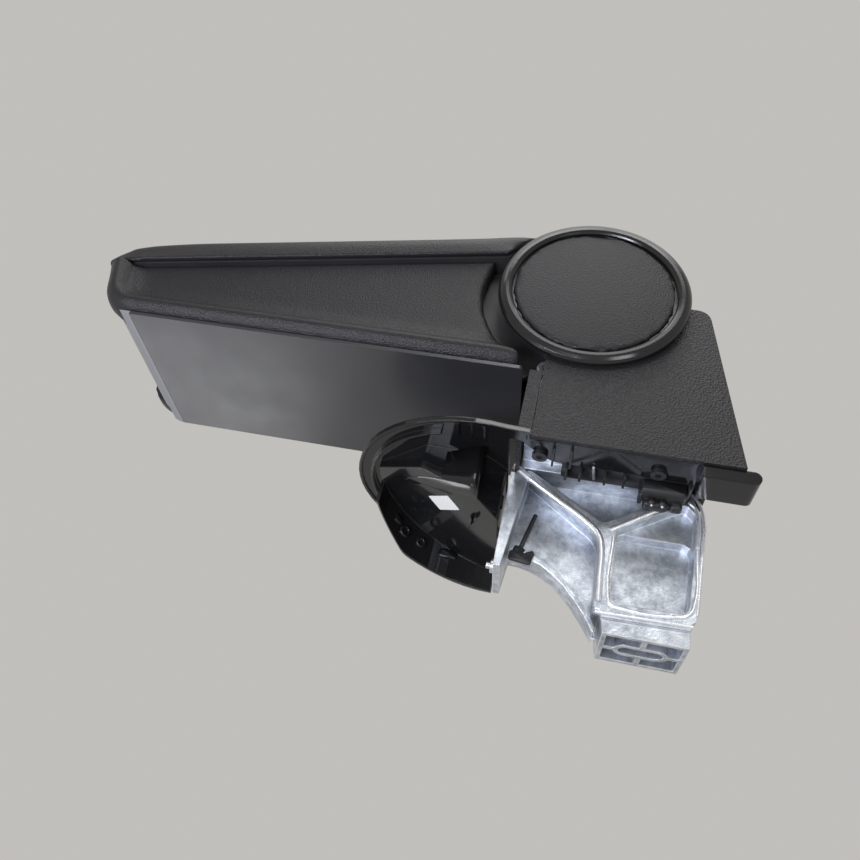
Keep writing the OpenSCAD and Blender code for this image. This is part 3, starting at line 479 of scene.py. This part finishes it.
def inflate(piece, held, cap):
    """Cloth under pressure, pinned where held, with each vertex's way limited to cap."""
    start = [v.co.copy() for v in piece.data.vertices]
    pins = piece.vertex_groups.new(name="pins")
    pins.add([i for i, co in enumerate(start) if held(from_pivot(co))], 1.0, "REPLACE")
    settings = piece.modifiers.new("cloth", "CLOTH").settings
    settings.quality = 4
    settings.mass = 0.3
    settings.tension_stiffness = 20
    settings.compression_stiffness = 20
    settings.bending_stiffness = 0.8
    settings.vertex_group_mass = "pins"
    settings.use_pressure = True
    settings.uniform_pressure_force = 4
    settings.effector_weights.gravity = 0
    for frame_number in range(1, CLOTH_FRAMES + 1):
        scene.frame_set(frame_number)
    blown = piece.evaluated_get(bpy.context.evaluated_depsgraph_get())
    ends = [v.co.copy() for v in blown.to_mesh().vertices]
    blown.to_mesh_clear()
    piece.modifiers.clear()
    scene.frame_set(1)
    for vertex, first, end in zip(piece.data.vertices, start, ends):
        way = end - first
        if way.length > cap:
            way *= cap / way.length
        vertex.co = first + way


def slope_frame(p):
    """How far a point lies along the lid's slope, and its height over the slope through the pivot."""
    along = p.x * math.cos(SLOPE) + p.z * math.sin(SLOPE)
    height = p.z * math.cos(SLOPE) - p.x * math.sin(SLOPE)
    return along, height


# The pad's front corners and its nose, along and across the lid's slope
CORNER_ALONG = -301
CORNER_ACROSS = 38
CORNER_STRETCH = 0.75
PAD_HEIGHT = 21
NOSE_START = -250
NOSE_LENGTH = 75
NOSE_REACH = 4.0
NOSE_DROP = 7.0


def nose_of_pad(p):
    """Draws the pad's front corners forward and lowers its nose, as the bolsters' noses go."""
    along, height = slope_frame(p)
    across = abs(p.y)
    share = clamp((height - PARTING) / PAD_HEIGHT)
    dx, dy = CORNER_ALONG - along, across - CORNER_ACROSS
    if dx > 0 and dy > 0:
        grow = math.hypot(dx, dy) / max(dx, dy) - 1
        stretch = 1 + grow * CORNER_STRETCH * (1 - 0.5 * share)
        along = CORNER_ALONG - dx * stretch
        across = CORNER_ACROSS + dy * stretch
    ahead = clamp((NOSE_START - along) / NOSE_LENGTH) ** 2
    along -= NOSE_REACH * ahead * (1 - share)
    height -= NOSE_DROP * ahead * share
    return Vector((along * math.cos(SLOPE) - height * math.sin(SLOPE), math.copysign(across, p.y),
                   along * math.sin(SLOPE) + height * math.cos(SLOPE)))


# The bolster's lower front corner, its foot, and the crest and seam by their depth inside the rim
NOSE_MIDDLE = Vector((-291.4, -41.5))
NOSE_RADIUS = 26.0
FRONT_LEAN = math.radians(16.3)
FRONT_WAY = Vector((-math.cos(FRONT_LEAN), -math.sin(FRONT_LEAN)))
COVER_FOOT = -67.5
CREST_SWELL, CREST_DEPTH, CREST_WIDTH = 4.2, 8.5, 5.5
SEAM_DRAW, SEAM_DEPTH, SEAM_WIDTH = 0.9, 19.5, 3.0
CHEEK_SIDE = 50
CHEEK_FADE = 5


def ridge(deep, middle, width):
    """1 at the middle, and falling smoothly to 0 on both sides."""
    return math.exp(-((deep - middle) / width) ** 2)


def fuller_bolster(p):
    """Fills the bolster's crest out, and draws the seam in between it and the cheek."""
    flat = Vector((p.x, p.z)) - NOSE_MIDDLE
    front = NOSE_RADIUS - flat.dot(FRONT_WAY)
    foot = p.z - COVER_FOOT
    if foot < NOSE_RADIUS and front < NOSE_RADIUS:
        deep = NOSE_RADIUS - flat.length
    else:
        deep = min(front, foot)
    share = clamp((abs(p.y) - CHEEK_SIDE) / CHEEK_FADE)
    way = CREST_SWELL * ridge(deep, CREST_DEPTH, CREST_WIDTH)
    way -= SEAM_DRAW * ridge(deep, SEAM_DEPTH, SEAM_WIDTH)
    return Vector((p.x, p.y + math.copysign(way * share, p.y), p.z))


def reshape(piece, change):
    for vertex in piece.data.vertices:
        vertex.co = PIVOT + change(from_pivot(vertex.co)) / 1000


def upholster(node, name, body, voxel, rounds, held, cap=0, change=None):
    """A padded piece from a plain solid: remeshed along its slope, softened, blown up and subdivided."""
    piece = bpy.data.objects.new(name, nodes[node].data.copy())
    scene.collection.objects.link(piece)
    tilt = Matrix.Rotation(SLOPE if body != "base" else 0.0, 4, "Y")
    piece.data.transform(tilt)
    remesh = piece.modifiers.new("remesh", "REMESH")
    remesh.mode = "VOXEL"
    remesh.voxel_size = voxel
    bake(piece)
    piece.data.transform(tilt.inverted())
    relax(piece, rounds, held)
    if cap:
        inflate(piece, held, cap)
        relax(piece, SETTLE_ROUNDS, held)
    if change:
        reshape(piece, change)
    piece.modifiers.new("fine", "SUBSURF").levels = 1
    bake(piece)
    piece.data.materials.clear()
    piece.data.materials.append(LOOKS["leatherette"])
    piece.data.polygons.foreach_set("use_smooth", [True] * len(piece.data.polygons))
    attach(piece, body)
    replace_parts(piece, node)


# What the cloth is held by: the pad's tongue round the hub, the strips along the parting, and the bezel
TONGUE_START = -38
TONGUE_RADIUS = 54
PAD_STRIP = 4
COVER_STRIP = 3.5
INLAY_RADIUS = 48.5
INLAY_BACK = 60.6


def pad_held(p):
    """The pad's underside and the inside of its tongue."""
    if p.x > TONGUE_START:
        return math.hypot(p.x, p.z) < TONGUE_RADIUS
    return slope_frame(p)[1] < PARTING + PAD_STRIP


def cover_held(p):
    """The side of a cover that lies against the bin."""
    return abs(p.y) < COVER_IN or slope_frame(p)[1] > PARTING - COVER_STRIP


def inlay_held(p):
    """The inlay's back and its edge in the bezel."""
    return math.hypot(p.x, p.z) > INLAY_RADIUS or abs(p.y) < INLAY_BACK


upholster("lid_pad", "pad_leather", "lid", voxel=0.003, rounds=4, held=pad_held, cap=0.0012,
          change=nose_of_pad)
for side in ("left", "right"):
    upholster("side_cover_" + side, "cover_leather_" + side, "arm", voxel=0.0027, rounds=14,
              held=cover_held, change=fuller_bolster)
    upholster("disc_inlay_" + side, "inlay_leather_" + side, "base", voxel=0.0022, rounds=2,
              held=inlay_held, cap=0.0006)


# Small pieces: shapes in metres, built into a bmesh in the row frame
def piece_from(name, bm, look, slot=None, smooth=True):
    """A piece of the base from a bmesh, wearing its look. The slot argument is not used."""
    bmesh.ops.recalc_face_normals(bm, faces=bm.faces)
    mesh = bpy.data.meshes.new(name)
    bm.to_mesh(mesh)
    bm.free()
    mesh.polygons.foreach_set("use_smooth", [smooth] * len(mesh.polygons))
    mesh.materials.append(LOOKS[look])
    piece = bpy.data.objects.new(name, mesh)
    scene.collection.objects.link(piece)
    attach(piece, "base")
    slot = slot or look
    return piece


def lathe(bm, centre, axis, profile, count=32):
    """Turns a closed profile of (radius, height) in metres about an axis through centre."""
    axis = Vector(axis).normalized()
    first = axis.orthogonal().normalized()
    second = axis.cross(first)
    rings = []
    for k in range(count):
        turn = 2 * math.pi * k / count
        out = first * math.cos(turn) + second * math.sin(turn)
        rings.append([bm.verts.new(centre + out * r + axis * h) for r, h in profile])
    for one, two in zip(rings, rings[1:] + rings[:1]):
        for i in range(len(profile)):
            j = (i + 1) % len(profile)
            bm.faces.new((one[i], one[j], two[j], two[i]))


def rod(bm, start, end, radius, count=16):
    """A rod with softened ends."""
    way = end - start
    length = way.length
    soft = radius * 0.5
    tiny = radius * 0.02
    lathe(bm, start, way, [(tiny, 0), (radius - soft, 0), (radius, soft), (radius, length - soft),
                           (radius - soft, length), (tiny, length)], count)


# A slab's corners by their signs and first angle, and its rings by height and inset in half thicknesses
SLAB_CORNERS = ((1, 1, 0), (-1, 1, 90), (-1, -1, 180), (1, -1, 270))
SLAB_RINGS = ((-1, 0.25), (-0.5, 0), (0.5, 0), (1, 0.25))
CORNER_STEPS = 6


def slab(bm, centre, along, across, size, corner):
    """A flat plate of (length, width, thickness) with round corners and a softened rim."""
    along = Vector(along).normalized()
    across = (Vector(across) - along * along.dot(Vector(across))).normalized()
    up = along.cross(across)
    half_l, half_w, half_t = (v / 2 for v in size)
    rings = []
    for height, inset in SLAB_RINGS:
        ring = []
        radius = corner - inset * half_t
        for cx, cy, first in SLAB_CORNERS:
            for k in range(CORNER_STEPS + 1):
                turn = math.radians(first + 90 * k / CORNER_STEPS)
                x = cx * (half_l - corner) + radius * math.cos(turn)
                y = cy * (half_w - corner) + radius * math.sin(turn)
                ring.append(bm.verts.new(centre + along * x + across * y + up * half_t * height))
        rings.append(ring)
    count = len(rings[0])
    for one, two in zip(rings, rings[1:]):
        for i in range(count):
            j = (i + 1) % count
            bm.faces.new((one[i], one[j], two[j], two[i]))
    bm.faces.new(rings[0])
    bm.faces.new(rings[-1])


def prism(bm, outline, y0, y1):
    """A solid from an outline of (x, z) in millimetres, from y0 to y1."""
    ends = [[bm.verts.new(at(x, y, z)) for x, z in outline] for y in (y0, y1)]
    count = len(outline)
    for i in range(count):
        j = (i + 1) % count
        bm.faces.new((ends[0][i], ends[0][j], ends[1][j], ends[1][i]))
    bm.faces.new(ends[0])
    bm.faces.new(ends[1])


def tube_mesh(paths, radius):
    """Round tubes along smooth paths of points in metres, as one mesh."""
    curve = bpy.data.curves.new("tubes", "CURVE")
    curve.dimensions = "3D"
    curve.bevel_depth = radius
    curve.bevel_resolution = 3
    curve.resolution_u = 6
    curve.use_fill_caps = True
    for path in paths:
        spline = curve.splines.new("BEZIER")
        spline.bezier_points.add(len(path) - 1)
        for point, co in zip(spline.bezier_points, path):
            point.co = co
            point.handle_left_type = point.handle_right_type = "AUTO"
    holder = bpy.data.objects.new("tubes", curve)
    scene.collection.objects.link(holder)
    graph = bpy.context.evaluated_depsgraph_get()
    graph.update()
    mesh = bpy.data.meshes.new_from_object(holder.evaluated_get(graph))
    bpy.data.objects.remove(holder)
    return mesh


# Tray under the flange, in millimetres from the pivot: its underside falls towards the rear
TRAY_SLOPE = math.radians(21)
TRAY_FALL = math.tan(TRAY_SLOPE)
TRAY_FRONT_X, TRAY_FRONT_Z = -114, -121
TRAY_MIDDLE_X = -60
SKIRT_RADIUS = 51.6


def under_tray(x, y, below=0.0):
    """A point on the tray's underside, or a little below it."""
    return at(x, y, TRAY_FRONT_Z - TRAY_FALL * (x - TRAY_FRONT_X) - below)


def on_skirt(angle, z, inward=0.0):
    """A point on the skirt's inner face, and the way towards its middle."""
    way = Vector((math.cos(math.radians(angle)), math.sin(math.radians(angle)), 0))
    r = SKIRT_RADIUS - inward
    return at(TRAY_MIDDLE_X + r * way.x, r * way.y, z), -way


def label():
    """A bare paper label on the tray's underside."""
    bm = bmesh.new()
    turn = math.radians(-44)
    along = Vector((math.cos(turn), math.sin(turn), -TRAY_FALL * math.cos(turn)))
    across = Vector((-math.sin(turn), math.cos(turn), TRAY_FALL * math.sin(turn)))
    slab(bm, under_tray(-68.7, -7.6, below=0.12), along, across, (0.0195, 0.0122, 0.0002), corner=0.0008)
    piece_from("tray_label", bm, "label_paper", smooth=False)


def skirt_bosses():
    """Two round bosses with holes on the skirt's inner face."""
    bm = bmesh.new()
    ring = ((1.9, -0.3), (4.3, -0.3), (4.2, 1.2), (3.9, 1.7), (2.4, 1.7), (2.1, 1.4))
    for angle, z, size in ((135, -139.5, 1.0), (120, -141.5, 0.85)):
        centre, way = on_skirt(angle, z)
        lathe(bm, centre, way, [(r * size / 1000, h / 1000) for r, h in ring])
    piece_from("skirt_bosses", bm, "base_plastic")


def skirt_pads():
    """Two flat moulded pads on the skirt's inner face."""
    bm = bmesh.new()
    lift = 0.0004
    for angle, z, length, height in ((143, -134.5, 0.007, 0.006), (98, -143.0, 0.012, 0.006)):
        centre, way = on_skirt(angle, z, inward=0.2)
        around = Vector((-way.y, way.x, 0))
        slab(bm, centre + way * lift, around, UP, (length, height, 0.0014), corner=0.0015)
    piece_from("skirt_pads", bm, "base_plastic")


def tray_ribs():
    """Two short ribs under the tray's deep end."""
    bm = bmesh.new()
    along = Vector((-0.12, 1, 0))
    for x, y, length in ((-51.0, -5.0, 0.014), (-47.5, -13.0, 0.006)):
        slab(bm, under_tray(x, y, below=1.2), along, UP, (length, 0.0034, 0.0012), corner=0.0005)
    piece_from("tray_ribs", bm, "base_plastic")


def tub():
    """The deeper near side of the tray, with rounded lower edges."""
    near = [(-97, -7), (-92, -16), (-86, -23), (-79.6, -28.4), (-73, -33), (-66.9, -36.6),
            (-60, -40.6), (-54, -43.8), (-49.5, -46.2), (-46.8, -44.5), (-46.2, -38)]
    far = [(-46.2, -25), (-62, -20), (-78, -15)]
    top_z = -119.6
    near_drop, far_drop = 0.5, -0.4
    bm = bmesh.new()
    top = [bm.verts.new(at(x, y, top_z)) for x, y in near + far]
    low = [bm.verts.new(under_tray(x, y, near_drop)) for x, y in near]
    low += [bm.verts.new(under_tray(x, y, far_drop)) for x, y in far]
    count = len(top)
    for i in range(count):
        j = (i + 1) % count
        bm.faces.new((top[i], top[j], low[j], low[i]))
    bm.faces.new(top)
    bm.faces.new(low)
    bmesh.ops.recalc_face_normals(bm, faces=bm.faces)
    rims = [e for e in bm.edges if any(v in low for v in e.verts)]
    bmesh.ops.bevel(bm, geom=rims, offset=0.003, offset_type="OFFSET", segments=4, profile=0.5,
                    affect="EDGES", clamp_overlap=True)
    piece_from("tray_tub", bm, "base_plastic")


# Cast bracket, in millimetres from the pivot
WEB_HALF = 3.02
SHOE_GROOVE_Y = 17.6
BRACKET_SIDE = 20
BEAD_SIDE = 19.4


def casting():
    """The bracket, with its lower pocket carried further up and a groove across the shoe."""
    cutter = bmesh.new()
    pocket = [(33.02, -156), (75.98, -156), (75.98, -146), (74.5, -142.5), (71, -141),
              (38, -141), (34.5, -142.5), (33.02, -146)]
    groove = [(20, -198.4), (90, -196.4), (90, -194.9), (20, -196.9)]
    for side in (-1, 1):
        prism(cutter, pocket, BRACKET_SIDE * side, WEB_HALF * side)
        prism(cutter, groove, BRACKET_SIDE * side, SHOE_GROOVE_Y * side)
    bmesh.ops.recalc_face_normals(cutter, faces=cutter.faces)
    mesh = bpy.data.meshes.new("cutter")
    cutter.to_mesh(mesh)
    cutter.free()
    tool = bpy.data.objects.new("cutter", mesh)
    scene.collection.objects.link(tool)
    piece = bpy.data.objects.new("bracket_casting", nodes["cast_bracket"].data.copy())
    scene.collection.objects.link(piece)
    cut = piece.modifiers.new("cut", "BOOLEAN")
    cut.operation = "DIFFERENCE"
    cut.solver = "EXACT"
    cut.object = tool
    bake(piece)
    bpy.data.objects.remove(tool)
    piece.data.materials.clear()
    piece.data.materials.append(LOOKS["cast_metal"])
    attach(piece, "base")
    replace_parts(piece, "cast_bracket")


def rib_beads():
    """Raised rims along the casting's ribs and round its pocket, on both sides."""
    diagonal = [(-30.5, -111.2), (-26, -114.6), (-1, -130.6), (15.5, -141), (23.2, -148.5),
                (25.6, -157), (26.3, -172), (27, -188)]
    branch = [(29, -144.2), (48, -130.6), (66, -117.4)]
    pocket_rim = [(31.6, -148), (31.6, -183), (33.6, -188.6), (39.5, -190.3), (68, -189.2),
                  (74.6, -186.6), (77.2, -180), (77.4, -150), (77.4, -130), (75.8, -122), (71.5, -117.6)]
    outer = [(70.5, -110), (76.6, -116.4), (80.2, -128), (80, -150), (78.8, -186)]
    shoe = [(26.0, -194.6), (77.0, -193.1)]
    bm = bmesh.new()
    for radius, path in ((0.0021, diagonal), (0.0017, branch), (0.0012, pocket_rim), (0.001, outer),
                         (0.0009, shoe)):
        sunk = BEAD_SIDE - radius * 1000 / 2
        paths = [[at(x, sunk * side, z) for x, z in path] for side in (-1, 1)]
        bm.from_mesh(tube_mesh(paths, radius))
    # The beads wear the lighter rim look, whose colour is a painted highlight along the ribs
    piece_from("rib_beads", bm, "cast_edge_highlight", slot="cast_metal")


# Black mouldings and metal bits about the bracket
PIN_RADIUS = 0.0009


def flange_pin():
    """A thin metal pin under the flange beside the bracket."""
    bm = bmesh.new()
    rod(bm, at(14.6, -41.0, -118.0), at(16.0, -28.5, -118.4), PIN_RADIUS)
    piece_from("flange_pin", bm, "steel")


def window_shroud():
    """The black moulding seen in the flange's window, with its short ribs."""
    bm = bmesh.new()
    slab(bm, at(34.5, -28.6, -113.6), REARWARD, ACROSS, (0.075, 0.0178, 0.0018), corner=0.003)
    front, under = -36.6, -114.4
    for x, length, drop in ((0, 13, 5), (8, 9, 7), (14, 11, 4), (22, 7, 8), (33, 12, 5), (69, 12, 6)):
        slab(bm, at(x, front + length / 2, under - drop / 2), ACROSS, UP,
             (length / 1000, drop / 1000, 0.0014), corner=0.0006)
    piece_from("window_shroud", bm, "black_plastic")


def guide():
    """The black guide under the flange, with two bright pins in their sleeves."""
    bm = bmesh.new()
    slab(bm, at(55, -27.6, -119.6), REARWARD, UP, (0.026, 0.0095, 0.014), corner=0.002)
    slab(bm, at(52, -23.4, -125.6), REARWARD, UP, (0.014, 0.006, 0.007), corner=0.0018)
    slab(bm, at(63.5, -23.0, -123.4), REARWARD, UP, (0.007, 0.009, 0.006), corner=0.0018)
    slab(bm, at(43.2, -25.5, -118.5), ACROSS, UP, (0.010, 0.013, 0.0022), corner=0.0009)
    sleeve = [(0.0001, 0), (0.0021, 0), (0.0021, 0.0034), (0.0014, 0.0044), (0.0001, 0.0044)]
    pins = bmesh.new()
    for x in (49.5, 55.5):
        lathe(bm, at(x, -27, -124.6), (0, -0.35, -1), sleeve, 20)
        rod(pins, at(x, -27.9, -127.6), at(x, -28.6, -129.9), PIN_RADIUS, 12)
    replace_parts(piece_from("guide_moulding", bm, "black_plastic"), "guide_block")
    piece_from("guide_pins", pins, "steel")


def clip():
    """The thin black strap on the web, and its catch round the web's lower rim."""
    bm = bmesh.new()
    foot, head = Vector((-19.4, -4.2, -158.5)), Vector((-13.6, -4.2, -134.0))
    way = head - foot
    slab(bm, at(*((foot + head) / 2)), way, -REARWARD, (way.length / 1000, 0.0024, 0.0020), corner=0.0010)
    for place, slant, size, corner in (
        ((-18.2, -9.4, -166.2), -0.12, (0.0135, 0.0062, 0.0024), 0.0016),
        ((-20.2, -6.3, -162.2), -0.3, (0.0070, 0.0075, 0.0052), 0.0014),
        ((-13.6, -9.2, -163.4), 0.5, (0.0060, 0.0032, 0.0022), 0.0010),
    ):
        slab(bm, at(*place), REARWARD + slant * UP, UP, size, corner)
    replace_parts(piece_from("clip_moulding", bm, "black_plastic"), "retaining_clip")


def fin_nut():
    """A small nut on the fin's front face, with its stud and a second one above it."""
    bm = bmesh.new()
    place = at(-33.2, -17, -137.8)
    nut = [(0.0001, 0), (0.0034, 0), (0.0034, 0.0024), (0.0026, 0.0032), (0.0001, 0.0032)]
    lathe(bm, place, -REARWARD, nut, 6)
    rod(bm, at(-33, -17, -137.8), at(-40.5, -17, -137.8), 0.0014)
    rod(bm, at(-33, -17, -133.2), at(-37.5, -17, -133.2), 0.0010)
    piece_from("fin_nut", bm, "black_steel")


def spring():
    """The catch's return spring, a copy of the CAD solid carried by the lid."""
    piece = bpy.data.objects.new("catch_spring", nodes["latch_spring"].data.copy())
    scene.collection.objects.link(piece)
    piece.data.materials.clear()
    piece.data.materials.append(LOOKS["steel"])
    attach(piece, "lid")
    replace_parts(piece, "latch_spring")
    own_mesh(piece)


for build in (label, skirt_bosses, skirt_pads, tray_ribs, flange_pin, casting, rib_beads, window_shroud,
              guide, clip, tub, fin_nut, spring):
    build()
